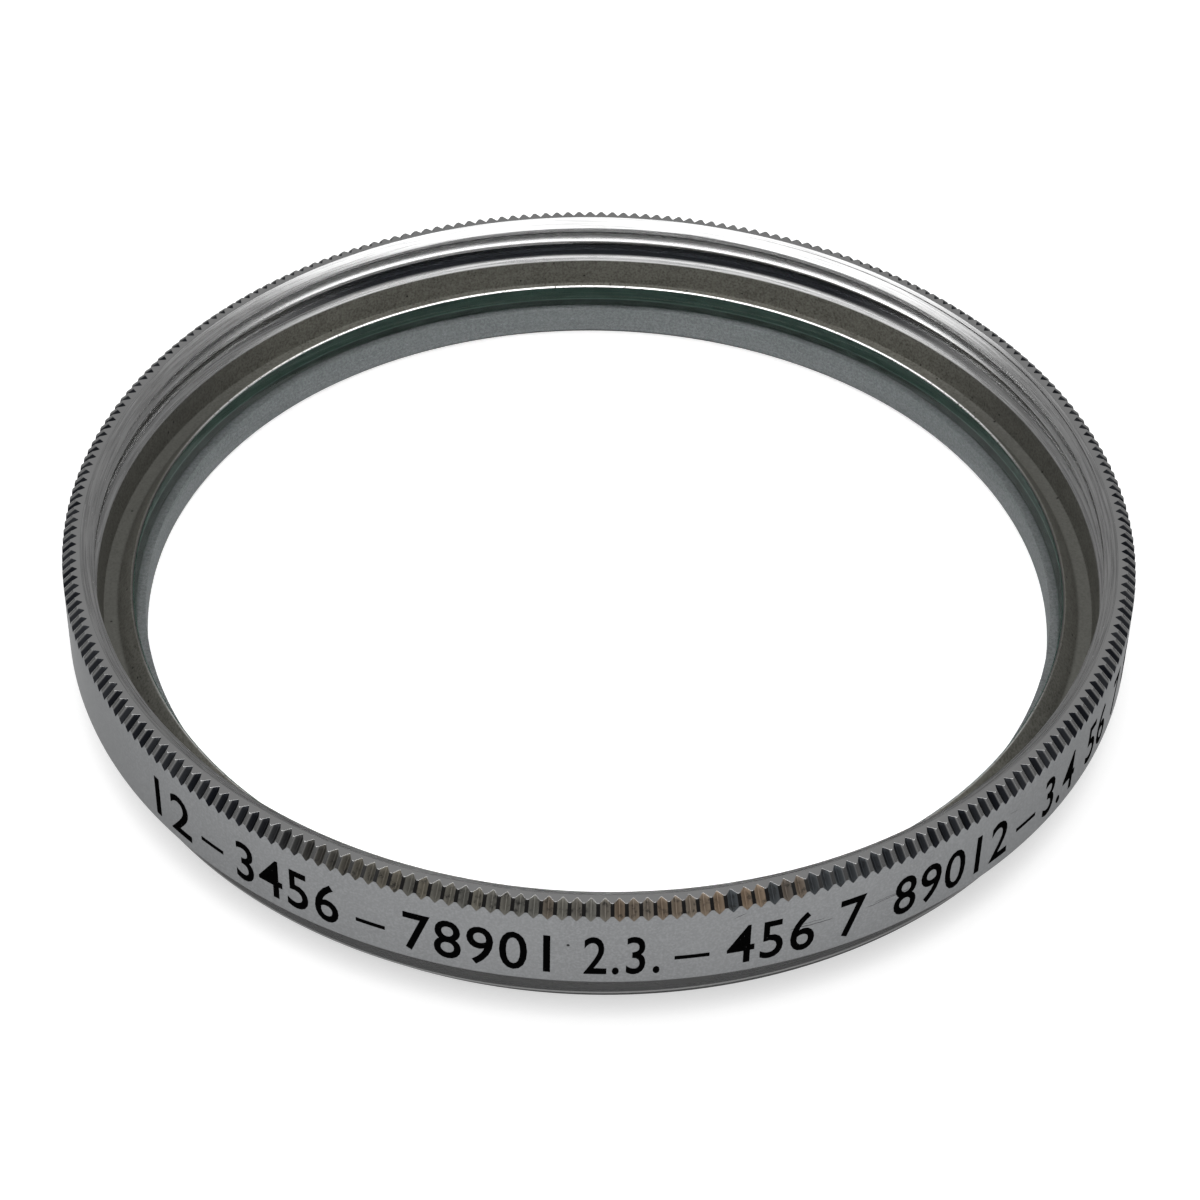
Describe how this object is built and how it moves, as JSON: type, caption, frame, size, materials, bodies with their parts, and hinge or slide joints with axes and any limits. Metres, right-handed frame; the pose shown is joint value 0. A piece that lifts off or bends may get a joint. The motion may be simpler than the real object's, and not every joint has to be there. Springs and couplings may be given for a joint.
{
  "type": "infrared filter",
  "caption": "Screw-in camera filter: a turned metal ring with a finely knurled front edge, threads front and rear, and a disc of clear glass held by a rolled lip.",
  "frame": {"origin": "centre of the rear face of the ring, on the optical axis, where the filter stands on a flat surface", "axes": "+Z along the optical axis from the rear thread to the knurled front; +X and +Y are any two directions across it, with the row of numbers starting on the -Y side"},
  "size_m": [0.048, 0.048, 0.0065],
  "materials": {
    "satin_plated_metal": "brass with satin chrome plate, tarnished in the grooves",
    "filter_glass": "polished clear glass with a faint green rim"
  },
  "bodies": {
    "root": {"filter_ring": "satin_plated_metal", "filter_glass": "filter_glass"}
  },
  "joints": []
}
